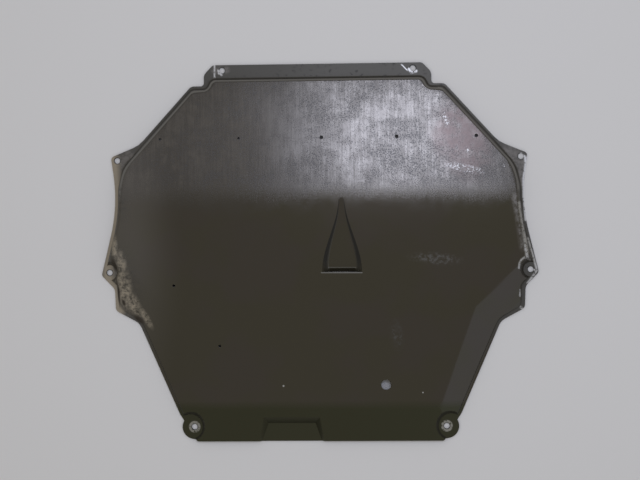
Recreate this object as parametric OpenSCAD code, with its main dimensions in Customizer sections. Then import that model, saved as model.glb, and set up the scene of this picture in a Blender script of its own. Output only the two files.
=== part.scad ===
// Engine splash shield: one pressed aluminium sheet that closes the front of a car's underside.
// It lies road side up, on its bolt flanges. +Y is the front edge, +X the right side as seen from the road.
// The bolts place its edge: the tabs, the notches and the rear edge are measured from them.

/* [Sheet] */
// Thickness of the sheet
sheet_t = 3; // [2:0.5:4]
// Height of the main floor's road face above the flange undersides
tray_h = 18; // [17:1:24]

/* [Bolts] */
// Diameter of the bolt holes
bolt_hole_d = 10.5; // [8.5:0.5:12]
// Spacing of the two front bolts
front_bolts = 345; // [320:1:370]
// Distance from the front edge to the front bolts
front_bolt_back = 10; // [9:0.5:11]
// Spacing of the two upper side bolts
upper_bolts = 729; // [700:1:760]
// Distance from the front edge to the upper side bolts
upper_bolt_back = 171; // [155:1:190]
// Spacing of the two lower side bolts
lower_bolts = 760; // [730:1:790]
// Distance from the front edge to the lower side bolts
lower_bolt_back = 374; // [350:1:400]
// Spacing of the two rear bolts
rear_bolts = 455; // [430:1:480]
// Distance from the front edge to the rear bolts
rear_bolt_back = 654; // [620:1:700]

/* [Front flange] */
// Distance of the front edge's ends outside the front bolts
front_end_out = 16.5; // [14:0.5:20]
// Width of the flange's corners
flange_corner_w = 16.5; // [14:0.5:19]
// Length of the flange's corners behind the front edge
flange_corner_l = 17; // [15:1:21]
// Radius of the front edge's ends
front_end_r = 10; // [6:1:12]
// Radius of the flange's outer corners
flange_corner_r = 14; // [8:1:15]
// Distance from the front edge to the foot of the step up to the floor
front_step_back = 23; // [21:1:26]
// Distance of the floor's front corners outside the ends of the front edge
front_floor_out = 4; // [0:0.5:5]
// Distance from the front edge to the shoulders beside the flange
shoulder_back = 38; // [36:1:44]
// Width of the shoulders
shoulder_w = 23.5; // [20:0.5:30]
// Radius of the necks between flange and shoulders
neck_r = 6; // [4:1:8]
// Radius of the shoulders' outer ends
shoulder_end_r = 12; // [8:1:18]

/* [Upper side tabs] */
// Width of the tabs, from the front diagonals to their corners
upper_tab_w = 51; // [44:1:58]
// Distance of the tabs' corners outside their bolts
upper_corner_out = 11.5; // [10:0.5:14]
// Distance of the tabs' corners ahead of their bolts
upper_corner_ahead = 6; // [4:1:9]
// Distance of the front diagonals' ends ahead of those bolts
upper_root_ahead = 27; // [22:1:32]
// Radius where the diagonals run into the tabs
tab_root_r = 50; // [30:5:60]
// Radius of the corners of all side tabs
tab_corner_r = 7; // [4:1:9]
// Distance of the floor's bend inside those bolts
floor_upper_in = 8.5; // [6:0.5:12]
// Distance of the floor's bend behind those bolts
floor_upper_behind = 12; // [8:1:18]

/* [Waist] */
// Distance of the waist inside the upper side bolts, where the two straight sides would meet
waist_in = 0.5; // [0:0.5:4]
// Distance of the waist behind those bolts
waist_behind = 81; // [70:1:92]
// Radius of the side edge at the waist
waist_r = 300; // [200:10:400]
// Distance of the floor's edge outside the waist
floor_waist_out = 1.5; // [0:0.5:3]
// Distance from the waist forwards to the place where the floor's edge turns straight
floor_waist_ahead = 30; // [24:1:36]
// Length of that straight stretch
floor_waist_l = 52; // [40:1:60]

/* [Lower side tabs] */
// Distance of the tabs' tips outside their bolts
lower_tip_out = 14.5; // [13:0.5:17]
// Distance of the tabs' tips behind their bolts
lower_tip_behind = 5; // [3:1:7]
// Depth of the notches behind the tabs
notch_w = 24; // [20:0.5:28]
// Length from the tips to the notches
notch_l = 25; // [21:1:30]
// Radius of the notches
notch_r = 15; // [10:1:18]
// Distance of the outer corners inside the notches
corner_in = 1.5; // [0:0.5:4]
// Length from the notches to the outer corners
corner_l = 39; // [34:1:44]
// Radius of the outer corners
corner_r = 10; // [6:1:12]
// Distance of the rear diagonals' front ends inside the outer corners
diag_in = 43; // [36:1:50]
// Length from the outer corners to those ends
diag_behind = 23; // [18:1:28]
// Radius at those ends
diag_r = 24; // [16:1:30]
// Width of the lip beside the notches and the outer corners
notch_lip_w = 6; // [3.5:0.5:8]

/* [Rear edge] */
// Distance of the rear diagonals' rear ends outside the rear bolts
rear_diag_out = 26.5; // [23:0.5:30]
// Distance of those ends ahead of the rear bolts
rear_diag_ahead = 23; // [20:1:26]
// Distance of the rear edge's ends inside the rear bolts
rear_end_in = 5.5; // [4:0.5:8]
// Distance of the rear edge behind the rear bolts
rear_edge_behind = 26; // [24:1:29]
// Radius of the round tabs at the rear bolts
rear_tab_r = 22; // [19:0.5:22]
// Radius of the other corners there
rear_corner_r = 5; // [3:1:6]

/* [Lip and step] */
// Width of the narrow lip outside the step along the edges
lip_w = 3.5; // [2.5:0.5:5]
// Radius at the foot of the step, on the road side
foot_r = 2.5; // [1.5:0.5:4]
// Radius of the shoulder at the top of the step
shoulder_r = 6; // [4:0.5:7]
// Slope of the step's wall from the floor plane
wall_angle = 75; // [65:1:80]
// Radius of the floor's corners at the foot of the step
floor_corner_r = 16; // [12:1:20]
// Radius of the floor's edge beside the necks
floor_neck_r = 8; // [5:1:10]
// Radius of the floor's edge beside the upper side tabs
floor_side_r = 60; // [40:5:70]
// Radius of the floor's edge at the front ends of the rear diagonals
floor_diag_r = 28; // [20:1:34]

/* [Floor bends] */
// Distance from the front edge to the bend where the front slope starts
front_bend_back = 237; // [220:1:260]
// Slope of the front part of the floor
front_slope = 1.4; // [0.5:0.1:2]
// Width of the sloped strip along the rear edge
rear_strip_w = 61; // [50:1:75]
// Slope of the rear strip
rear_slope = 9.5; // [6:0.5:11]
// Width of the bevels at the front ends of the rear diagonals
rear_bevel_w = 54; // [46:1:60]
// Angle of those bevels' bend lines from the centre line
rear_bend_angle = 19; // [15:1:23]
// Width of the corner bevels, measured to the outer corners
corner_bevel_w = 65; // [58:1:72]
// Angle of the corner bevels' bend lines from the centre line
corner_bend_angle = 47; // [42:1:52]
// Slope of the bevels
bevel_slope = 14; // [10:1:16]
// Bend radius of the floor's folds
bend_r = 80; // [40:10:120]

/* [Bolt pockets] */
// Radius of the flat seat at the lower side bolts
lower_seat_r = 13; // [12:0.5:15]
// Radius of the flat seat at the rear bolts
rear_seat_r = 22.5; // [22:0.5:25]
// Distance of the rear seats' centres outside their bolts
rear_seat_out = 8; // [0:1:10]
// Flare of the bolt pockets' walls from upright
pocket_flare = 30; // [20:1:40]

/* [Air duct] */
// Offset of the duct's centre line to the right
duct_x = 42; // [20:1:60]
// Distance from the front edge to the lip behind the duct
duct_lip_back = 376; // [350:1:400]
// Length of the duct from its tip to the lip
duct_l = 134; // [110:1:160]
// Width of the duct at its tip
duct_tip_w = 10; // [6:1:14]
// Width of the duct at its mouth
duct_mouth_w = 72; // [60:1:84]
// Depth of the ramp where its toe bends down
duct_depth = 9; // [6:0.5:10]
// Length of the toe, from the end of the ramp to the lip
duct_toe_l = 8; // [5:0.5:12]
// Drop of the toe from its bend to its end
duct_toe_drop = 4; // [2:0.5:4.5]
// Gap between the end of the toe and the plane of the lip
duct_gap = 1; // [0.5:0.5:2]
// Flare of the duct's side walls from upright
duct_flare = 45; // [30:1:50]
// Radius along the foot of the duct's side walls
duct_foot_r = 3; // [1:0.5:4]

/* [Rear channel] */
// Offset of the channel's centre line to the left
channel_x = 51; // [40:1:70]
// Length of the channel's floor, up to the rear edge
channel_l = 32; // [26:1:40]
// Width of the channel's floor at its front end
channel_front_w = 85; // [76:1:96]
// Width of the channel's floor at the rear edge
channel_rear_w = 108; // [98:1:118]
// Flare of the channel's walls from upright
channel_flare = 45; // [30:1:50]

/* [Drain holes] */
// Diameter of the drain holes in the front row
row_hole_d = 4.5; // [3:0.5:6]
// Spacing of the holes in the front row
row_pitch = 142; // [120:1:145]
// Distance from the front edge to the front row
row_back = 134; // [120:1:150]
// Offset of the row's middle hole to the right, in line with the duct's left side
middle_hole_x = 7; // [0:1:12]
// Diameter of the two drain holes on the left
drain_hole_d = 5; // [4:0.5:8]
// Offset of the outer drain hole to the left
outer_drain_x = 261; // [250:1:270]
// Distance from the front edge to the outer drain hole
outer_drain_back = 398; // [385:1:410]
// Offset of the inner drain hole to the left
inner_drain_x = 179; // [160:1:195]
// Distance from the front edge to the inner drain hole
inner_drain_back = 507; // [495:1:520]
// Diameter of the oil drain access hole
access_hole_d = 18; // [14:1:24]
// Offset of the access hole to the right
access_hole_x = 119; // [100:1:140]
// Distance of the access hole ahead of the rear edge
access_hole_ahead = 102; // [90:1:120]

/* [Hidden] */
// Turn and length of the steps along arcs, and length of those along straight stretches beside the bevels
arc_step = 15;
arc_chord = 12;
straight_chord = 24;
ramp_steps = 12;
// Reach of the cutting shapes behind the rear edge, over the floor and under the flanges
beyond = 40;
above = 20;
below = 2;
// Start of the step's skin outside its foot, its run into the floor, and a small clearance
skin_out = 1;
skin_in = 3;
hair = 0.1;
metal = [0.32, 0.31, 0.30];

// The middle of the sheet's length is at y = 0
shield_l = rear_bolt_back + rear_edge_behind;
rear_y = -shield_l / 2;
function back(d) = shield_l / 2 - d;
function unit(v) = v / norm(v);
function turned(v, a) = [v.x * cos(a) - v.y * sin(a), v.x * sin(a) + v.y * cos(a)];
function backwards(p) = [for (i = [len(p) - 1:-1:0]) p[i]];
function both_sides(half) = concat(half, [for (q = backwards(half)) [-q.x, q.y, q.z]]);

// A corner [x, y, r] of a polygon as an arc of radius r
function corner_arc(a, b, c) =
    let (
        p = [b.x, b.y],
        u = unit([a.x, a.y] - p),
        v = unit([c.x, c.y] - p),
        half = acos(max(-1, min(1, u * v))) / 2,
        centre = p + unit(u + v) * b.z / sin(half),
        start = p + u * b.z / tan(half) - centre,
        turn = 180 - 2 * half,
        side = u.x * v.y - u.y * v.x > 0 ? -1 : 1,
        steps = max(ceil(turn / arc_step), ceil(b.z * turn * PI / 180 / arc_chord))
    )
    [for (k = [0:steps]) centre + turned(start, side * turn * k / steps)];

function rounded(p) = [
    for (i = [0:len(p) - 1])
        each corner_arc(p[(i + len(p) - 1) % len(p)], p[i], p[(i + 1) % len(p)])
];

// Straight stretches behind a given line get more points, because the floor bends beside them
function divided(p, front_y) = [
    for (i = [0:len(p) - 1])
        let (
            q = p[(i + 1) % len(p)],
            steps = max(p[i].y, q.y) < front_y && abs(p[i].y - q.y) > 1
                ? ceil(norm(q - p[i]) / straight_chord) : 1
        )
        for (k = [0:steps - 1]) p[i] + (q - p[i]) * k / steps
];

// Inward direction at each point of an outline that runs clockwise, long enough to keep the edges parallel
function inward(p) = [
    for (i = [0:len(p) - 1])
        let (
            n = len(p),
            e1 = unit(p[i] - p[(i + n - 1) % n]),
            e2 = unit(p[(i + 1) % n] - p[i]),
            n1 = [e1.y, -e1.x],
            n2 = [e2.y, -e2.x]
        )
        (n1 + n2) / (1 + n1 * n2)
];

front_end_x = front_bolts / 2 + front_end_out;
flange_x = front_end_x + flange_corner_w;
upper_x = upper_bolts / 2;
upper_y = back(upper_bolt_back);
waist_x = upper_x - waist_in;
waist_y = upper_y - waist_behind;
tip_x = lower_bolts / 2 + lower_tip_out;
tip_y = back(lower_bolt_back) - lower_tip_behind;
corner_x = tip_x - notch_w - corner_in;
corner_y = tip_y - notch_l - corner_l;
rear_x = rear_bolts / 2;

// Trimmed edge of the sheet, right half from front to rear
trim_half = [
    [front_end_x, back(0), front_end_r],
    [flange_x, back(flange_corner_l), flange_corner_r],
    [flange_x, back(shoulder_back), neck_r],
    [flange_x + shoulder_w, back(shoulder_back), shoulder_end_r],
    [upper_x + upper_corner_out - upper_tab_w, upper_y + upper_root_ahead, tab_root_r],
    [upper_x + upper_corner_out, upper_y + upper_corner_ahead, tab_corner_r],
    [waist_x, waist_y, waist_r],
    [tip_x, tip_y, tab_corner_r],
    [tip_x - notch_w, tip_y - notch_l, notch_r],
    [corner_x, corner_y, corner_r],
    [corner_x - diag_in, corner_y - diag_behind, diag_r],
    [rear_x + rear_diag_out, back(rear_bolt_back) + rear_diag_ahead, rear_corner_r],
    [rear_x - rear_end_in, rear_y, rear_corner_r]
];
trim_corners = [for (q = both_sides(trim_half)) [q.x, q.y]];
lip_line = trim_corners + lip_w * inward(trim_corners);
notch_lip_line = trim_corners + notch_lip_w * inward(trim_corners);
rear_diag = unit(trim_corners[11] - trim_corners[10]);

// Foot of the step round the floor, right half; it runs out behind the rear edge, where there is no step
function with_r(p, r) = [p.x, p.y, r];
foot_half = [
    [front_end_x + front_floor_out, back(front_step_back), floor_corner_r],
    with_r(lip_line[2], floor_neck_r),
    with_r(lip_line[3], floor_corner_r),
    [upper_x - floor_upper_in, upper_y - floor_upper_behind, floor_side_r],
    [waist_x + floor_waist_out, waist_y + floor_waist_ahead, floor_side_r],
    [waist_x + floor_waist_out, waist_y + floor_waist_ahead - floor_waist_l, waist_r],
    with_r(lip_line[7], floor_corner_r),
    with_r(notch_lip_line[8], floor_corner_r),
    with_r(notch_lip_line[9], floor_corner_r),
    with_r(lip_line[10], floor_diag_r),
    with_r(lip_line[10] + rear_diag * (lip_line[10].y - rear_y + beyond) / -rear_diag.y, floor_corner_r)
];
foot_line = divided(rounded(both_sides(foot_half)), waist_y);
foot_inward = inward(foot_line);

// Bevels: a point on the bend line and the direction in which the floor falls away from it
rear_bevel_dir = [cos(rear_bend_angle), -sin(rear_bend_angle)];
rear_bevel_at = trim_corners[10] - rear_bevel_w * rear_bevel_dir;
corner_bevel_dir = [cos(corner_bend_angle), -sin(corner_bend_angle)];
corner_bevel_at = trim_corners[9] - corner_bevel_w * corner_bevel_dir;

function fall(p, at, dir, slope) = max(0, (p - at) * dir) * tan(slope);

// Height of the floor's road face at a point of the plan
function floor_z(q) =
    let (p = [abs(q.x), q.y])
    tray_h - max(
        fall(p, [0, back(front_bend_back)], [0, 1], front_slope),
        fall(p, [0, rear_y + rear_strip_w], [0, -1], rear_slope),
        min(
            fall(p, rear_bevel_at, rear_bevel_dir, bevel_slope),
            fall(p, corner_bevel_at, corner_bevel_dir, bevel_slope)
        )
    );

// Section of the step at one point: [distance inwards, height] from its foot to above the floor.
// gap is 0 for the road face and the sheet's thickness for the car face.
function step_section(h, gap, base) =
    let (
        rise = h - sheet_t,
        bend = (foot_r + shoulder_r) * (1 - cos(wall_angle)),
        f = min(1, rise / bend),
        rf = foot_r * f,
        rs = shoulder_r * f,
        run = (rise - bend * f) / tan(wall_angle),
        top = (rf + rs) * sin(wall_angle) + run,
        angles = [1 / 3, 2 / 3, 1] * wall_angle
    )
    concat(
        [[-skin_out, base], [-skin_out, sheet_t - gap - hair]],
        [for (a = angles) [(rf + gap) * sin(a), sheet_t + rf - (rf + gap) * cos(a)]],
        [for (a = backwards(angles)) [top - (rs - gap) * sin(a), h - rs + (rs - gap) * cos(a)]],
        [[top + skin_in, h - gap + skin_in * hair], [top + skin_in, tray_h + above - gap]]
    );

// Everything inside the step, up to above the floor, as one skin over its sections
module inside_step(gap, base) {
    n = len(foot_line);
    far = (foot_r + shoulder_r) * sin(wall_angle) + tray_h / tan(wall_angle);
    sections = [
        for (i = [0:n - 1])
            step_section(max(floor_z(foot_line[i] + far * foot_inward[i]), sheet_t + foot_r), gap, base)
    ];
    rings = len(sections[0]);
    points = concat(
        [
            for (k = [0:rings - 1], i = [0:n - 1])
                let (p = foot_line[i] + sections[i][k].x * foot_inward[i])
                [p.x, p.y, sections[i][k].y]
        ],
        [[0, 0, base], [0, 0, tray_h + above - gap]]
    );
    faces = concat(
        [for (i = [0:n - 1]) [rings * n, (i + 1) % n, i]],
        [
            for (k = [0:rings - 2], i = [0:n - 1])
                let (a = k * n + i, b = k * n + (i + 1) % n)
                each [[b, b + n, a + n], [b, a + n, a]]
        ],
        [for (i = [0:n - 1]) [rings * n + 1, (rings - 1) * n + i, (rings - 1) * n + (i + 1) % n]]
    );
    polyhedron(points, faces);
}

// Bend from level to a slope, as [distance, height] along the fall
function bend_arc(slope) = [
    for (k = [0:4])
        let (a = slope * k / 4)
        [bend_r * (sin(a) - tan(slope / 2)), bend_r * (cos(a) - 1)]
];

// Half space under the floor on one side of a bend line, reaching back a long way under the floor
module under_bend(at, dir, slope, h) {
    run = shield_l;
    translate([at.x, at.y, h])
        rotate([0, 0, atan2(dir.y, dir.x)])
            rotate([90, 0, 0])
                linear_extrude(height = 3 * shield_l, center = true)
                    polygon(concat(
                        [[-2 * shield_l, -h - 2 * below], [-2 * shield_l, 0]],
                        bend_arc(slope),
                        [[run, -run * tan(slope)], [run, -h - below - run]]
                    ));
}

// Block whose top is the floor's face at height h, with its bends
module under_floor(h) {
    intersection() {
        under_bend([0, back(front_bend_back)], [0, 1], front_slope, h);
        under_bend([0, rear_y + rear_strip_w], [0, -1], rear_slope, h);
        under_bevels(h);
        mirror([1, 0, 0]) under_bevels(h);
    }
}

module under_bevels(h) {
    under_bend(rear_bevel_at, rear_bevel_dir, bevel_slope, h);
    under_bend(corner_bevel_at, corner_bevel_dir, bevel_slope, h);
}

ramp_l = duct_l - duct_toe_l;

// The duct's width grows from its tip in an S curve, and its tip is round
function duct_w(d) =
    let (
        u = d / duct_l,
        tip = min(1, d / (duct_tip_w / 2))
    )
    sqrt(1 - (1 - tip) * (1 - tip)) * duct_tip_w
        + (duct_mouth_w - duct_tip_w) * (3 * u * u - 2 * u * u * u);

// Depth of the duct's ramp, and of the steeper toe at its end, at a distance d behind its tip
function duct_drop(d) =
    2 * hair + duct_depth * min(1, d / ramp_l)
        + duct_toe_drop * max(0, d - ramp_l) / (duct_toe_l - duct_gap);

// Section across the duct: [offset from its centre line, height]
function duct_section(d, gap) =
    let (
        drop = duct_drop(d),
        open = duct_w(d) / 2 + gap / cos(duct_flare),
        low = tray_h - drop - gap,
        flat = max(open - (drop + gap) * tan(duct_flare), open / 5),
        soft = min(drop / 3, duct_foot_r),
        lean = (open - flat) / (drop + gap),
        side = [
            [flat - soft, low],
            [flat - soft / 4, low + soft / 4],
            [flat + soft * lean, low + soft],
            [open, tray_h],
            [open, tray_h + skin_out]
        ]
    )
    concat(side, [for (q = backwards(side)) [-q.x, q.y]]);

// Hollow of the duct over a length behind its tip
module duct_hollow(gap, long) {
    round_l = duct_tip_w / 3;
    at = concat(
        [round_l / 8, round_l / 2],
        [for (k = [0:ramp_steps]) round_l + (ramp_l - round_l) * k / ramp_steps],
        [long]
    );
    sections = [for (d = at) duct_section(d, gap)];
    m = len(sections[0]);
    points = [
        for (k = [0:len(at) - 1], q = sections[k])
            [duct_x + q.x, back(duct_lip_back) + duct_l - at[k] + (k == 0 ? gap : 0), q.y]
    ];
    last = (len(at) - 1) * m;
    faces = concat(
        [for (i = [1:m - 2]) [0, i, i + 1]],
        [
            for (k = [0:len(at) - 2], i = [0:m - 1])
                let (a = k * m + i, b = k * m + (i + 1) % m)
                each [[a, b + m, b], [a, a + m, b + m]]
        ],
        [for (i = [1:m - 2]) [last, last + i + 1, last + i]]
    );
    polyhedron(points, faces);
}

// Hollow of the rear channel, with its walls leaning out
module channel_hollow(gap, base) {
    front_y = rear_y + channel_l;
    end_y = rear_y - beyond;
    taper = (channel_rear_w - channel_front_w) / 2 / channel_l;
    function half(y) = channel_front_w / 2 + (front_y - y) * taper;
    function level(z) =
        let (o = (z - sheet_t) * tan(channel_flare) + gap / cos(channel_flare))
        [
            [-channel_x - half(front_y + o) - o, front_y + o, z],
            [-channel_x + half(front_y + o) + o, front_y + o, z],
            [-channel_x + half(end_y) + o, end_y, z],
            [-channel_x - half(end_y) - o, end_y, z]
        ];
    polyhedron(
        concat(level(base), level(tray_h + above)),
        [[3, 2, 1, 0], [4, 5, 6, 7], [0, 1, 5, 4], [1, 2, 6, 5], [2, 3, 7, 6], [3, 0, 4, 7]]
    );
}

// Bolt pocket with a flat seat and a flared wall
module pocket_hollow(spacing, bolt_back, seat_r, out, gap, base) {
    function wall_r(z) = seat_r + (z - sheet_t) * tan(pocket_flare) + gap / cos(pocket_flare);
    top = tray_h + above;
    for (side = [-1, 1])
        translate([side * (spacing / 2 + out), back(bolt_back), base])
            cylinder(r1 = wall_r(base), r2 = wall_r(top), h = top - base, $fn = 64);
}

module pressed_hollows(gap, duct_end, base) {
    duct_hollow(gap, duct_end);
    channel_hollow(gap, base);
    pocket_hollow(lower_bolts, lower_bolt_back, lower_seat_r, 0, gap, base);
    pocket_hollow(rear_bolts, rear_bolt_back, rear_seat_r, rear_seat_out, gap, base);
}

// Everything under the road face
module road_side() {
    difference() {
        intersection() {
            inside_step(0, sheet_t / 2);
            under_floor(tray_h);
        }
        pressed_hollows(0, duct_l, sheet_t / 4);
    }
}

// The space over the car face, under the sheet
module car_side() {
    difference() {
        intersection() {
            inside_step(sheet_t, -below);
            under_floor(tray_h - sheet_t);
        }
        pressed_hollows(sheet_t, duct_l - duct_gap, -below);
    }
}

module trim() {
    linear_extrude(height = tray_h + above)
        polygon(rounded(both_sides(trim_half)));
    for (side = [-1, 1])
        translate([side * rear_x, back(rear_bolt_back), 0])
            cylinder(r = rear_tab_r, h = tray_h + above, $fn = 64);
}

module hole(x, y, d) {
    translate([x, y, -below])
        cylinder(d = d, h = tray_h + above, $fn = 32);
}

module bolt_holes() {
    for (side = [-1, 1]) {
        hole(side * front_bolts / 2, back(front_bolt_back), bolt_hole_d);
        hole(side * upper_x, upper_y, bolt_hole_d);
        hole(side * lower_bolts / 2, back(lower_bolt_back), bolt_hole_d);
        hole(side * rear_x, back(rear_bolt_back), bolt_hole_d);
    }
}

module drain_holes() {
    for (side = [-1, 1], k = [1:2])
        hole(side * k * row_pitch, back(row_back), row_hole_d);
    hole(middle_hole_x, back(row_back), row_hole_d);
    hole(-outer_drain_x, back(outer_drain_back), drain_hole_d);
    hole(-inner_drain_x, back(inner_drain_back), drain_hole_d);
    hole(access_hole_x, rear_y + access_hole_ahead, access_hole_d);
}

module pressed_sheet() {
    difference() {
        intersection() {
            trim();
            union() {
                translate([-tip_x, rear_y, -below])
                    cube([2 * tip_x, shield_l, below + sheet_t]);
                road_side();
            }
        }
        car_side();
    }
}

module shield_panel() {
    color(metal)
        difference() {
            pressed_sheet();
            bolt_holes();
            drain_holes();
        }
}

shield_panel();
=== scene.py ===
import math

import bmesh
import bpy
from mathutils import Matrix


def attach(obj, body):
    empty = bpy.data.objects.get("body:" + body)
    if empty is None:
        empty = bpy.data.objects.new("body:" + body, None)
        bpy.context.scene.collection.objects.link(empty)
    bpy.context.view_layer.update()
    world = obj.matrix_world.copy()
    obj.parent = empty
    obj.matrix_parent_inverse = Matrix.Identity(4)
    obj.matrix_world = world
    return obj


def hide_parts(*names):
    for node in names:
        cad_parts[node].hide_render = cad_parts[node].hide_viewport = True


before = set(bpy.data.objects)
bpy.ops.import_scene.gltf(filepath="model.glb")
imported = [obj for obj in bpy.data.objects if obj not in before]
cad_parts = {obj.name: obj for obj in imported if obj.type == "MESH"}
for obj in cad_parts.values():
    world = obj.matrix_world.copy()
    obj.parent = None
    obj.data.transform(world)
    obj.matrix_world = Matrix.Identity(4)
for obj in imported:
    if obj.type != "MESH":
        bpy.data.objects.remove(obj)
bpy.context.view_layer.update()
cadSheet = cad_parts["shield_panel"]
print("frame loaded")


def linearColour(hexText):
    # an sRGB hex value as the linear RGBA that the shader sockets want
    parts = [int(hexText[i : i + 2], 16) / 255 for i in (1, 3, 5)]
    return tuple(c / 12.92 if c <= 0.04045 else ((c + 0.055) / 1.055) ** 2.4 for c in parts) + (1.0,)


def addNode(tree, kind, links=None, **settings):
    # adds one node: settings are its properties, links are its sockets' values, hex colours or sources
    node = tree.nodes.new("ShaderNode" + kind)
    for name, value in settings.items():
        setattr(node, name, value)
    for key, value in (links or {}).items():
        live = [s for s in node.inputs if s.enabled and s.name == key]
        socket = live[0] if live else node.inputs[key]
        if isinstance(value, bpy.types.NodeSocket):
            tree.links.new(value, socket)
        else:
            socket.default_value = linearColour(value) if isinstance(value, str) else value
    return next((s for s in node.outputs if s.enabled), None)  # its first live output


# The pressed sheet is the solid's own skin, welded, with its sheared edges eased.
sheet = {
    "weldGap": 0.00002,
    "creaseAngle": 32,  # bends sharper than this stay crisp, degrees
    "edgeAngle": 58,  # sheared edges, degrees
    "edgeEase": 0.0004,
    "easeSteps": 2,
}


def makePressedSheet(source, sizes):
    mesh = source.data.copy()
    skin = bmesh.new()
    skin.from_mesh(mesh)
    bmesh.ops.remove_doubles(skin, verts=skin.verts, dist=sizes["weldGap"])
    bmesh.ops.dissolve_degenerate(skin, edges=skin.edges, dist=sizes["weldGap"])
    crease = math.radians(sizes["creaseAngle"])
    for face in skin.faces:
        face.smooth = True
    for edge in skin.edges:
        edge.smooth = len(edge.link_faces) == 2 and edge.calc_face_angle() < crease
    skin.to_mesh(mesh)
    skin.free()
    piece = bpy.data.objects.new("pressed_sheet", mesh)
    bpy.context.scene.collection.objects.link(piece)
    ease = piece.modifiers.new("eased edges", "BEVEL")
    ease.width = sizes["edgeEase"]
    ease.segments = sizes["easeSteps"]
    ease.limit_method = "ANGLE"
    ease.angle_limit = math.radians(sizes["edgeAngle"])
    ease.use_clamp_overlap = True
    even = piece.modifiers.new("even shading", "WEIGHTED_NORMAL")
    even.keep_sharp = True
    return piece


pressedSheet = makePressedSheet(cadSheet, sheet)
print("sheet made,", len(pressedSheet.data.polygons), "faces")

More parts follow.
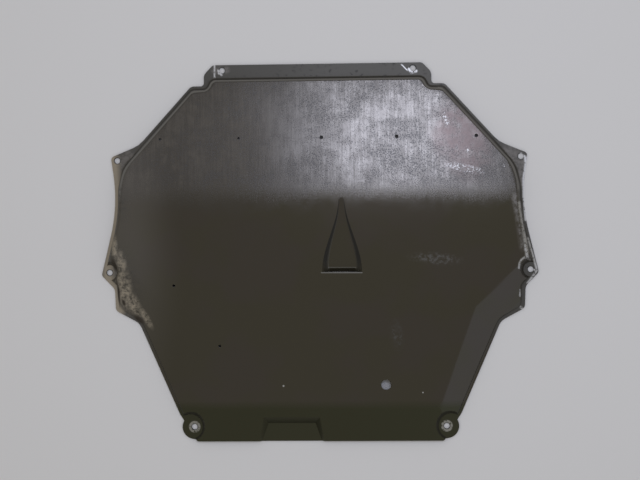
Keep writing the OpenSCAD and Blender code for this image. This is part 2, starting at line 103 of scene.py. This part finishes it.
# Its finish. Places and sizes are metres on the sheet, +X to the right and +Y to the front edge.
finish = {
    # coats, in the order in which they lie on each other
    "oxide": {"colour": "#524e48", "metallic": 0.85, "roughness": 0.13},  # thin even oxide on the sheet
    "film": {"colour": "#413c2e", "metallic": 0.55, "roughness": 0.1},  # brown road film, to the rear
    "haze": {"colour": "#433d33", "metallic": 0.6, "roughness": 0.11},  # redder patches of the film
    "rearFilm": {"colour": "#3c3b2a", "metallic": 0.8, "roughness": 0.3},  # thicker, on the rear strip
    "dull": {"colour": "#423e38", "metallic": 0.75, "roughness": 0.21},  # where the oxide is thicker
    "speck": {"colour": "#3f3c38", "metallic": 0.5, "roughness": 0.33},  # pits filled with dirt
    "tarnish": {"colour": "#4c413c", "metallic": 0.75, "roughness": 0.25},  # reddish stain at the right
    "dust": {"colour": "#45423b", "metallic": 0.6, "roughness": 0.42},  # dusty rim and flanges
    "paleDust": {"colour": "#67625b", "metallic": 0.5, "roughness": 0.45},  # drier dust on the side tabs
    "grimeAndShade": {"colour": "#3c3934", "metallic": 0.25, "roughness": 0.55},  # painted shade on the steep walls, and dark dirt spots on the rim
    "shoulder": {"colour": "#75726d", "metallic": 0.8, "roughness": 0.3},  # shoulder of the step, rubbed, and lightened as a painted highlight
    "recessShade": {"colour": "#211e17", "metallic": 0.1, "roughness": 0.7},  # painted shade in the air duct and round the holes
    "mud": {"colour": "#9c907b", "metallic": 0.0, "roughness": 0.9},  # dried mud on the left side
    "siltAndShade": {"colour": "#30281a", "metallic": 0.0, "roughness": 0.85},  # dark silt, and painted shade in the mud's hollows and the left pocket
    "rubbedAndGlint": {"colour": "#a3a09a", "metallic": 0.9, "roughness": 0.36},  # metal rubbed bright, and painted highlights and glints
    "ductLipHighlight": {"colour": "#66635b", "metallic": 0.7, "roughness": 0.35},  # painted highlight on the lips of the air duct
    "ringWear": {"colour": "#8a867a", "metallic": 0.6, "roughness": 0.4},  # rings under the bolt heads
    # uneven patterns: size of a lump, the noise values at which it starts and is full, and a seed.
    # Real rolling marks, scratches and pits are finer than a pixel, so they are drawn 3 mm wide.
    "patterns": {
        "clouds": {"size": 0.045, "low": 0.28, "high": 0.75, "seed": 1.9, "detail": 6, "rough": 0.75},
        "haze": {"size": 0.11, "low": 0.42, "high": 0.62, "seed": 12.4, "detail": 2},
        "streaks": {"size": 0.003, "low": 0.3, "high": 0.7, "seed": 7.7, "detail": 2, "stretch": 0.05},
        "blots": {"size": 0.022, "low": 0.25, "high": 0.7, "seed": 6.6, "detail": 6, "rough": 0.7},
        "rimSpots": {"size": 0.006, "low": 0.64, "high": 0.7, "seed": 3.3, "detail": 1},
        "dryDust": {"size": 0.005, "low": 0.25, "high": 0.65, "seed": 5.5, "detail": 4},
        "smears": {"size": 0.006, "low": 0.35, "high": 0.75, "seed": 8.1},
        "crumbs": {"size": 0.009, "low": 0.36, "high": 0.62, "seed": 9.2, "detail": 6, "rough": 0.8},
        "wear": {"size": 0.004, "low": 0.3, "high": 0.5, "seed": 4.4},
        "scratches": {"size": 0.0028, "low": 0.54, "high": 0.64, "seed": 6.1},
        "swell": {"size": 0.12, "low": 0.2, "high": 0.8, "seed": 2.2, "detail": 0},
    },
    "pitSpacing": 0.0027,
    "pitCrowding": (0.28, -0.05, 0.4),  # pits start, are full, and how much the clouds add
    "pitShare": 0.8,
    # pairs: where a coat starts and where it is full
    "filmEdge": (0.13, 0.038),  # along Y, ahead of the floor's front bend
    "bareUnder": (0.9, 0.2),  # how much film the oxide's marks show through
    "rearStrip": (-0.266, -0.28),
    "rimHeight": (0.006, 0.0035),
    "rimRear": (-0.2, -0.12),  # farther back the low parts are clean
    "wallShadeSlope": (0.65, 0.35),  # slopes are the Z part of the normal
    "shoulderTop": (0.992, 0.96),
    "shoulderFoot": (0.6, 0.75),
    "shoulderHeight": (0.009, 0.012),
    "ductShadeSlope": (0.95, 0.78),
    "filmRagged": 0.04,  # how far the clouds push the film's edge
    # how strong a coat gets
    "streakShare": 0.55,
    "ridgeShare": 0.6,
    "veilShare": 0.4,
    "mudDustShare": 0.85,
    "bend": (0.103, 0.018, 0.00011),  # the front bend's place, half width and sag
    "relief": (0.15, 0.0002, 0.5),  # strength and height of mud, and how deep pits are beside it
    "waveHeight": 0.0006,
    "seatHeight": 0.003,  # of the faces round the bolt holes
    "ringEdge": 0.0006,  # softness of a ring's edges
    "bolts": [(0.1725, 0.33), (0.3645, 0.169), (0.38, -0.034), (0.2275, -0.314)],  # on either side
    "ring": (0.0062, 0.0104),  # inner and outer radius of a rubbed ring
    "holeShade": (0.001, 0.0062),  # and of the painted shade round a bolt hole
    # ovals: centre, size across and along, and turn in degrees
    "ductPlace": (0.042, 0.03, 0.1, 0.15, 0),
    "tarnishPlace": (0.2600, 0.1990, 0.09, 0.13, 20),
    "leftVeil": (-0.3450, 0.0300, 0.11, 0.36, 4),  # a lighter veil along the left edge
    # the drain holes of the front row, painted over with shade
    "drains": [
        (0.007, 0.206, 0.0062, 0.0062, 0),
        (0.142, 0.206, 0.0062, 0.0062, 0),
        (0.284, 0.206, 0.0062, 0.0062, 0),
    ],
    "scuffs": [
        (0.2215, 0.2939, 0.009, 0.005, 0),
        (0.2301, 0.2357, 0.008, 0.026, 15),
        (0.2678, 0.1808, 0.005, 0.01, 20),
        (0.2630, 0.1478, 0.06, 0.012, -12),
        (0.3341, 0.1524, 0.008, 0.007, 0),
        (0.3447, 0.1469, 0.004, 0.007, 0),
        (0.3584, -0.0759, 0.003, 0.01, 0),
    ],
    # bright dots painted as glints
    "glintDots": [
        (-0.0649, -0.2393, 0.0034, 0.0034, 0),
        (0.1844, -0.2522, 0.0026, 0.0026, 0),
        (0.3862, -0.0352, 0.0034, 0.0034, 0),
    ],
    # pale smears
    "paleSpots": [
        (-0.3457, -0.0561, 0.045, 0.12, 12),
        (-0.3572, 0.0882, 0.03, 0.06, 0),
        (0.2099, -0.0132, 0.075, 0.018, -4),
        (0.1391, -0.1493, 0.02, 0.045, 8),
    ],
    # mud and dark silt on the left side, with painted shade in the hollows and the left pocket
    "mudSpots": [
        (-0.3686, 0.0108, 0.01, 0.044, 4),
        (-0.3562, -0.0163, 0.014, 0.034, 8),
        (-0.3521, -0.0614, 0.022, 0.072, 8),
        (-0.3387, -0.0885, 0.02, 0.048, 28),
        (-0.3136, -0.1157, 0.01, 0.034, 30),
        (-0.3742, -0.0762, 0.009, 0.056, 8),
    ],
    "siltAndShadeSpots": [
        (-0.3697, -0.0190, 0.009, 0.024, 12),
        (-0.3642, -0.0689, 0.0035, 0.05, 4),
        (-0.3541, -0.0884, 0.005, 0.012, 20),
        (-0.3263, -0.1192, 0.024, 0.01, -38),
    ],
    # lines: start, end and width
    "wearAndHighlightLines": [
        # right side: the ridge at the edge of the floor, and the rim of the pocket, rubbed and with a
        # painted highlight
        (0.3597, 0.0845, 0.3647, 0.0505, 0.0062),
        (0.3647, 0.0505, 0.3688, 0.0219, 0.0062),
        (0.3688, 0.0219, 0.3704, 0.0005, 0.0062),
        (0.3571, -0.0314, 0.3581, -0.0225, 0.0034),
        (0.3581, -0.0225, 0.3617, -0.0163, 0.0034),
        (0.3617, -0.0163, 0.3679, -0.0119, 0.0034),
        (0.3679, -0.0119, 0.3785, -0.0173, 0.0034),
        (0.3715, -0.0119, 0.3712, 0.0005, 0.006),
        # right side: the outer lip, a painted highlight along its edge
        (0.3647, 0.1736, 0.3723, 0.1673, 0.0036),
        (0.3723, 0.1673, 0.3727, 0.1529, 0.005),
        (0.3727, 0.1529, 0.3688, 0.1260, 0.005),
        (0.3688, 0.1260, 0.3689, 0.0937, 0.005),
        (0.3689, 0.0937, 0.3715, 0.0543, 0.0036),
        (0.3748, 0.0219, 0.3842, -0.0104, 0.0036),
        (0.3842, -0.0104, 0.3911, -0.0356, 0.0036),
        (0.3911, -0.0356, 0.3830, -0.0472, 0.0036),
        (0.3830, -0.0472, 0.3740, -0.0587, 0.0036),
        (0.3601, -0.0709, 0.3601, -0.0816, 0.003),
        (0.3610, -0.1017, 0.3646, -0.1044, 0.004),
        # front bolts
        (0.1513, 0.3374, 0.1629, 0.3255, 0.0022),
        (0.1656, 0.3282, 0.1700, 0.3224, 0.0052),
        (0.1700, 0.3224, 0.1781, 0.3244, 0.0052),
        (-0.1790, 0.3304, -0.1778, 0.3250, 0.0038),
        (-0.1778, 0.3250, -0.1733, 0.3222, 0.0038),
        # crease at the left end of the front flange
        (-0.1858, 0.3396, -0.1860, 0.3178, 0.003),
    ],
    # painted highlights along the lips of the air duct
    "ductLipHighlights": [
        (0.0051, -0.0367, 0.0776, -0.0373, 0.0022),
        (0.0175, -0.0276, 0.0669, -0.0280, 0.0015),
    ],
    # dry dust on the side tabs
    "paleRim": [
        (0.3440, 0.1770, 0.3640, 0.1560, 0.024),
        (0.3655, 0.1560, 0.3665, 0.1200, 0.016),
        (-0.3440, 0.1770, -0.3600, 0.1640, 0.026),
        (-0.1850, 0.3310, -0.1650, 0.3310, 0.012),
    ],
    # dust beside the right ridge
    "ridgeDust": [
        (0.3520, 0.0960, 0.3590, 0.0500, 0.012),
        (0.3590, 0.0500, 0.3650, 0.0050, 0.012),
    ],
    # mud dust along the left rim
    "dustLines": [
        (-0.3723, 0.1706, -0.3681, 0.1251, 0.02),
        (-0.3681, 0.1251, -0.3665, 0.0979, 0.02),
        (-0.3665, 0.0979, -0.3687, 0.0616, 0.02),
        (-0.3687, 0.0616, -0.3726, 0.0253, 0.02),
        (-0.3726, 0.0253, -0.3821, -0.0145, 0.02),
        (-0.3821, -0.0145, -0.3832, -0.0417, 0.02),
        (-0.3832, -0.0417, -0.3743, -0.0581, 0.02),
        (-0.3743, -0.0581, -0.3708, -0.0836, 0.02),
        (-0.3708, -0.0836, -0.3637, -0.1036, 0.02),
    ],
}


def lumps(tree, place, size, low, high, seed, detail=2.5, rough=0.6, stretch=1.0):
    # an uneven pattern with lumps about one size across: 0 where the noise is low, 1 where it is high
    moved = addNode(
        tree, "Mapping", {"Vector": place, "Location": (seed, seed, seed), "Scale": (1, stretch, 1)}
    )
    noise = addNode(
        tree, "TexNoise", {"Vector": moved, "Scale": 1 / size, "Detail": detail, "Roughness": rough}
    )
    return addNode(
        tree,
        "MapRange",
        {"Value": noise, "From Min": low, "From Max": high},
        interpolation_type="SMOOTHSTEP",
    )


# Each oval and each line is one Mapping node, and Cycles holds all of them on its small stack. There are
# 72 in use, and with 80 the whole sheet renders black.
flatten = 1000  # divides the height, so that only the place in plan counts


def spots(tree, place, ovals, soft=0.5):
    # 1 inside any of the ovals, 0 outside, soft at their rims
    total = None
    for x, y, across, along, turn in ovals:
        local = addNode(
            tree,
            "Mapping",
            {
                "Vector": place,
                "Location": (x, y, 0),
                "Rotation": (0, 0, math.radians(turn)),
                "Scale": (across / 2, along / 2, flatten),
            },
            vector_type="TEXTURE",
        )
        reach = addNode(tree, "VectorMath", {0: local}, operation="LENGTH")
        inside = addNode(
            tree,
            "MapRange",
            {"Value": reach, "From Min": 1 + soft, "From Max": 1 - soft},
            interpolation_type="SMOOTHSTEP",
        )
        if total is None:
            total = inside
        else:
            total = addNode(tree, "Math", {0: total, 1: inside}, operation="MAXIMUM")
    return total


def strokes(tree, place, lines, core=0.2, rim=0.75):
    # 1 along any of the lines, 0 away from them; core and rim are shares of a line's width
    total = None
    for x1, y1, x2, y2, width in lines:
        local = addNode(
            tree,
            "Mapping",
            {
                "Vector": place,
                "Location": ((x1 + x2) / 2, (y1 + y2) / 2, 0),
                "Rotation": (0, 0, math.atan2(y2 - y1, x2 - x1)),
                "Scale": (1, 1, flatten),
            },
            vector_type="TEXTURE",
        )
        half = math.hypot(x2 - x1, y2 - y1) / 2
        away = addNode(tree, "VectorMath", {0: local}, operation="ABSOLUTE")
        away = addNode(tree, "VectorMath", {0: away, 1: (half, 0, 0)}, operation="SUBTRACT")
        away = addNode(tree, "VectorMath", {0: away, 1: (0, 0, 0)}, operation="MAXIMUM")
        away = addNode(tree, "VectorMath", {0: away}, operation="LENGTH")
        near = addNode(
            tree, "MapRange", {"Value": away, "From Min": width * rim, "From Max": width * core}
        )
        if total is None:
            total = near
        else:
            total = addNode(tree, "Math", {0: total, 1: near}, operation="MAXIMUM")
    return total


def ringAt(tree, place, centre, radii, look):
    # a flat ring round one bolt hole
    middle = (*centre, look["seatHeight"])
    edge = look["ringEdge"]
    away = addNode(tree, "VectorMath", {0: place, 1: middle}, operation="DISTANCE")
    outer = addNode(
        tree, "MapRange", {"Value": away, "From Min": radii[1] + edge, "From Max": radii[1] - edge}
    )
    inner = addNode(
        tree, "MapRange", {"Value": away, "From Min": radii[0] - edge, "From Max": radii[0] + edge}
    )
    return addNode(tree, "Math", {0: outer, 1: inner}, operation="MULTIPLY")


def layOver(tree, below, mask, coat):
    # one finish over another, where the mask is 1
    above = {}
    for part in ("colour", "metallic", "roughness"):
        kind = "RGBA" if part == "colour" else "FLOAT"
        above[part] = addNode(
            tree, "Mix", {"Factor": mask, "A": below[part], "B": coat[part]}, data_type=kind
        )
    return above


def agedSheet(look):
    # Mill-finish 5000-series sheet after years under a car. The eye gets a dull grey with a broken,
    # mirror-like glare where the oxide is thin, brown film to the rear, bright rubbed spots, and painted
    # highlights, glints and shade.
    material = bpy.data.materials.new("aged mill-finish aluminium sheet")
    material.use_nodes = True
    tree = material.node_tree
    tree.nodes.clear()
    coords = addNode(tree, "TexCoord").node.outputs
    place = coords["Object"]
    axes = addNode(tree, "SeparateXYZ", {"Vector": place}).node.outputs
    lean = addNode(tree, "SeparateXYZ", {"Vector": coords["Normal"]}).node.outputs["Z"]
    pattern = look["patterns"]

    # brown film, even to the rear and gone ahead of the front bend
    clouds = lumps(tree, place, **pattern["clouds"])
    filmEdge = addNode(
        tree, "Math", {0: clouds, 1: -look["filmRagged"], 2: axes["Y"]}, operation="MULTIPLY_ADD"
    )
    start, full = look["filmEdge"]
    filmHere = addNode(
        tree,
        "MapRange",
        {"Value": filmEdge, "From Min": start, "From Max": full},
        interpolation_type="SMOOTHSTEP",
    )
    surface = layOver(tree, look["oxide"], filmHere, look["film"])
    hazy = lumps(tree, place, **pattern["haze"])
    hazy = addNode(tree, "Math", {0: hazy, 1: filmHere}, operation="MULTIPLY")
    surface = layOver(tree, surface, hazy, look["haze"])
    start, full = look["rearStrip"]
    strip = addNode(tree, "MapRange", {"Value": axes["Y"], "From Min": start, "From Max": full})
    surface = layOver(tree, surface, strip, look["rearFilm"])

    # thicker oxide in clouds some 40 mm across, and rolling marks that show as streaks in the glare
    start, full = look["bareUnder"]
    bare = addNode(tree, "MapRange", {"Value": filmHere, "From Min": start, "From Max": full})
    streaks = lumps(tree, place, **pattern["streaks"])
    dullHere = addNode(
        tree, "Math", {0: streaks, 1: look["streakShare"], 2: clouds}, operation="MULTIPLY_ADD"
    )
    dullHere = addNode(tree, "Math", {0: dullHere, 1: bare}, operation="MULTIPLY")
    surface = layOver(tree, surface, dullHere, look["dull"])

    # pits, crowded where the oxide is thick
    pits = addNode(tree, "TexVoronoi", {"Vector": place, "Scale": 1 / look["pitSpacing"]})
    start, full, crowding = look["pitCrowding"]
    crowd = addNode(tree, "Math", {0: clouds, 1: -crowding, 2: pits}, operation="MULTIPLY_ADD")
    pitted = addNode(
        tree,
        "MapRange",
        {"Value": crowd, "From Min": start, "From Max": full, "To Max": look["pitShare"]},
    )
    pitsHere = addNode(tree, "Math", {0: pitted, 1: bare}, operation="MULTIPLY")
    surface = layOver(tree, surface, pitsHere, look["speck"])

    # the reddish stain
    stained = spots(tree, place, [look["tarnishPlace"]], soft=0.45)
    blots = lumps(tree, place, **pattern["blots"])
    stained = addNode(tree, "Math", {0: stained, 1: blots}, operation="MULTIPLY")
    surface = layOver(tree, surface, stained, look["tarnish"])

    # dusty rim, low on the sheet, with dark spots
    start, full = look["rimHeight"]
    rim = addNode(tree, "MapRange", {"Value": axes["Z"], "From Min": start, "From Max": full})
    start, full = look["rimRear"]
    ahead = addNode(tree, "MapRange", {"Value": axes["Y"], "From Min": start, "From Max": full})
    rim = addNode(tree, "Math", {0: rim, 1: ahead}, operation="MULTIPLY")
    surface = layOver(tree, surface, rim, look["dust"])
    rimSpots = lumps(tree, place, **pattern["rimSpots"])
    rimSpots = addNode(tree, "Math", {0: rimSpots, 1: rim}, operation="MULTIPLY")
    surface = layOver(tree, surface, rimSpots, look["grimeAndShade"])

    # drier dust on the side tabs and beside the right ridge, and a lighter veil along the left edge
    drier = strokes(tree, place, look["paleRim"])
    drier = addNode(tree, "Math", {0: drier, 1: rim}, operation="MULTIPLY")
    beside = strokes(tree, place, look["ridgeDust"])
    beside = addNode(tree, "Math", {0: beside, 1: look["ridgeShare"]}, operation="MULTIPLY")
    drier = addNode(tree, "Math", {0: drier, 1: beside}, operation="MAXIMUM")
    broken = lumps(tree, place, **pattern["dryDust"])
    drier = addNode(tree, "Math", {0: drier, 1: broken}, operation="MULTIPLY")
    veil = spots(tree, place, [look["leftVeil"]], soft=0.9)
    veil = addNode(tree, "Math", {0: veil, 1: look["veilShare"]}, operation="MULTIPLY")
    drier = addNode(tree, "Math", {0: drier, 1: veil}, operation="MAXIMUM")
    surface = layOver(tree, surface, drier, look["paleDust"])

    # painted shade on the steep walls of the step, the duct and the pockets, set by how steeply they
    # stand
    start, full = look["wallShadeSlope"]
    wallShade = addNode(tree, "MapRange", {"Value": lean, "From Min": start, "From Max": full})
    surface = layOver(tree, surface, wallShade, look["grimeAndShade"])

    # the step's shoulder, lighter where no film lies on it: rubbed metal, and a painted highlight that
    # carries the glare up to the step
    start, full = look["shoulderTop"]
    shoulder = addNode(tree, "MapRange", {"Value": lean, "From Min": start, "From Max": full})
    start, full = look["shoulderFoot"]
    steep = addNode(tree, "MapRange", {"Value": lean, "From Min": start, "From Max": full})
    shoulder = addNode(tree, "Math", {0: shoulder, 1: steep}, operation="MULTIPLY")
    start, full = look["shoulderHeight"]
    high = addNode(tree, "MapRange", {"Value": axes["Z"], "From Min": start, "From Max": full})
    shoulder = addNode(tree, "Math", {0: shoulder, 1: high}, operation="MULTIPLY")
    shoulder = addNode(tree, "Math", {0: shoulder, 1: bare}, operation="MULTIPLY")
    surface = layOver(tree, surface, shoulder, look["shoulder"])

    # painted shade on the sloping sides of the air duct
    start, full = look["ductShadeSlope"]
    side = addNode(tree, "MapRange", {"Value": lean, "From Min": start, "From Max": full})
    atDuct = spots(tree, place, [look["ductPlace"]], soft=0.2)
    ductSideShade = addNode(tree, "Math", {0: side, 1: atDuct}, operation="MULTIPLY")
    surface = layOver(tree, surface, ductSideShade, look["recessShade"])

    # pale smears, then mud and dark silt on the left side, with painted shade in the hollows and the
    # left pocket
    smear = spots(tree, place, look["paleSpots"], soft=0.7)
    thin = lumps(tree, place, **pattern["smears"])
    smear = addNode(tree, "Math", {0: smear, 1: thin}, operation="MULTIPLY")
    surface = layOver(tree, surface, smear, look["dust"])
    crumbs = lumps(tree, place, **pattern["crumbs"])
    mud = spots(tree, place, look["mudSpots"], soft=0.75)
    mud = addNode(tree, "Math", {0: mud, 1: crumbs}, operation="MULTIPLY")
    dusted = strokes(tree, place, look["dustLines"])
    dusted = addNode(tree, "Math", {0: dusted, 1: rim}, operation="MULTIPLY")
    dusted = addNode(tree, "Math", {0: dusted, 1: look["mudDustShare"]}, operation="MULTIPLY")
    mud = addNode(tree, "Math", {0: mud, 1: dusted}, operation="MAXIMUM")
    surface = layOver(tree, surface, mud, look["mud"])
    siltAndShade = spots(tree, place, look["siltAndShadeSpots"])
    surface = layOver(tree, surface, siltAndShade, look["siltAndShade"])

    # painted shade close round the bolt holes and over the drain holes
    mirrored = addNode(tree, "Math", {0: axes["X"]}, operation="ABSOLUTE")
    mirrored = addNode(tree, "CombineXYZ", {"X": mirrored, "Y": axes["Y"], "Z": axes["Z"]})
    for bolt in look["bolts"]:
        holeShadeMask = ringAt(tree, mirrored, bolt, look["holeShade"], look)
        surface = layOver(tree, surface, holeShadeMask, look["recessShade"])
    holeShadeMask = spots(tree, place, look["drains"], soft=0.15)
    surface = layOver(tree, surface, holeShadeMask, look["recessShade"])

    # metal rubbed bright in lines and scuffs, painted highlights along the right ridge and lip, painted
    # glints as dots, then painted highlights on the duct's lips and the rubbed rings at the rear bolts
    worn = lumps(tree, place, **pattern["wear"])
    rubbedAndGlint = strokes(tree, place, look["wearAndHighlightLines"])
    rubbedAndGlint = addNode(tree, "Math", {0: rubbedAndGlint, 1: worn}, operation="MULTIPLY")
    scuffed = spots(tree, place, look["scuffs"])
    scratches = lumps(tree, place, **pattern["scratches"])
    scuffed = addNode(tree, "Math", {0: scuffed, 1: scratches}, operation="MULTIPLY")
    rubbedAndGlint = addNode(tree, "Math", {0: rubbedAndGlint, 1: scuffed}, operation="MAXIMUM")
    glinted = spots(tree, place, look["glintDots"], soft=0.3)
    rubbedAndGlint = addNode(tree, "Math", {0: rubbedAndGlint, 1: glinted}, operation="MAXIMUM")
    surface = layOver(tree, surface, rubbedAndGlint, look["rubbedAndGlint"])
    surface = layOver(tree, surface, strokes(tree, place, look["ductLipHighlights"]), look["ductLipHighlight"])
    ring = ringAt(tree, mirrored, look["bolts"][-1], look["ring"], look)
    ring = addNode(tree, "Math", {0: ring, 1: worn}, operation="MULTIPLY")
    surface = layOver(tree, surface, ring, look["ringWear"])

    # pits sink and mud stands out
    strength, height, pitDepth = look["relief"]
    relief = addNode(tree, "Math", {0: pitsHere, 1: -pitDepth, 2: mud}, operation="MULTIPLY_ADD")
    bumped = addNode(tree, "Bump", {"Height": relief, "Strength": strength, "Distance": height})

    # the slight waves of a thin sheet, and the front bend rounded off
    waves = lumps(tree, place, **pattern["swell"])
    bendAt, bendReach, sag = look["bend"]
    offBend = addNode(tree, "Math", {0: axes["Y"], 1: bendAt}, operation="SUBTRACT")
    offBend = addNode(tree, "Math", {0: offBend}, operation="ABSOLUTE")
    nearBend = addNode(tree, "MapRange", {"Value": offBend, "From Min": bendReach, "From Max": 0.0})
    rounding = addNode(tree, "Math", {0: nearBend, 1: 2.0}, operation="POWER")
    sagShare = sag / look["waveHeight"]
    waves = addNode(tree, "Math", {0: rounding, 1: -sagShare, 2: waves}, operation="MULTIPLY_ADD")
    waved = addNode(
        tree,
        "Bump",
        {"Height": waves, "Strength": 1.0, "Distance": look["waveHeight"], "Normal": bumped},
    )
    shader = addNode(
        tree,
        "BsdfPrincipled",
        {
            "Base Color": surface["colour"],
            "Metallic": surface["metallic"],
            "Roughness": surface["roughness"],
            "Normal": waved,
        },
    )
    addNode(tree, "OutputMaterial", {"Surface": shader})
    return material


pressedSheet.data.materials.clear()
pressedSheet.data.materials.append(agedSheet(finish))
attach(pressedSheet, "root")
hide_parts("shield_panel")
print("sheet finished")

# The studio: pale paper, a soft sky and softboxes, whose panes show as the glare on the sheet.
studio = {
    "floorSide": 8.0,
    "floorColour": "#dfdcd7",
    "floorRoughness": 0.9,
    "skyColour": "#ffffff",
    "skyStrength": 0.5,
    "cameraPlace": (0.07866, 0.01238, 2.16658),
    "cameraTurn": (0.2316, 2.0205, -0.5264),  # degrees
    "lens": 67.5,
    "sensor": 36,
    # name: centre, size, power, colour and the place on the floor that it faces
    "lamps": {
        "wide_pane": ((0.189, 0.52, 2.1), (0.92, 0.44), 2.3, "#d9e2ff", (0.189, 0.52)),
        "middle_pane": ((0.217, 0.52, 2.105), (0.73, 0.44), 3.2, "#d9e2ff", (0.217, 0.52)),
        "bright_pane": ((0.227, 0.52, 2.11), (0.49, 0.44), 5.2, "#d9e2ff", (0.227, 0.52)),
        "side_pane": ((-0.62, 0.52, 2.1), (0.69, 0.44), 0.5, "#f4f4ff", (-0.62, 0.52)),
        "fill_box": ((1.7, -1.4, 2.6), (1.8, 1.8), 4.8, "#c0d2ff", (0, 0)),
    },
}


def matPaper(look):
    # matt photo paper: no gloss, an even pale grey
    material = bpy.data.materials.new("matt studio paper")
    material.use_nodes = True
    shader = material.node_tree.nodes["Principled BSDF"]
    shader.inputs["Base Color"].default_value = linearColour(look["floorColour"])
    shader.inputs["Roughness"].default_value = look["floorRoughness"]
    return material


def addSoftbox(name, place, size, power, colour, target):
    # a rectangular lamp over the floor, facing a place on it
    lamp = bpy.data.lights.new(name, "AREA")
    lamp.shape = "RECTANGLE"
    lamp.size, lamp.size_y = size
    lamp.energy = power
    lamp.color = linearColour(colour)[:3]
    box = bpy.data.objects.new(name, lamp)
    bpy.context.scene.collection.objects.link(box)
    box.location = place
    away = box.location.copy()
    away.x -= target[0]
    away.y -= target[1]
    box.rotation_euler = away.to_track_quat("Z", "Y").to_euler()


bpy.ops.mesh.primitive_plane_add(size=studio["floorSide"], location=(0, 0, 0))
floor = bpy.context.object
floor.name = "studio_floor"
floor.data.materials.append(matPaper(studio))

world = bpy.data.worlds.new("soft grey room")
bpy.context.scene.world = world
world.use_nodes = True
sky = world.node_tree.nodes["Background"]
sky.inputs["Color"].default_value = linearColour(studio["skyColour"])
sky.inputs["Strength"].default_value = studio["skyStrength"]

for name, (place, size, power, colour, target) in studio["lamps"].items():
    addSoftbox(name, place, size, power, colour, target)

eye = bpy.data.cameras.new("photo_camera")
eye.lens = studio["lens"]
eye.sensor_width = studio["sensor"]
camera = bpy.data.objects.new("photo_camera", eye)
bpy.context.scene.collection.objects.link(camera)
camera.location = studio["cameraPlace"]
camera.rotation_euler = [math.radians(a) for a in studio["cameraTurn"]]
bpy.context.scene.camera = camera
bpy.context.scene.view_settings.view_transform = "Standard"
print("studio ready")
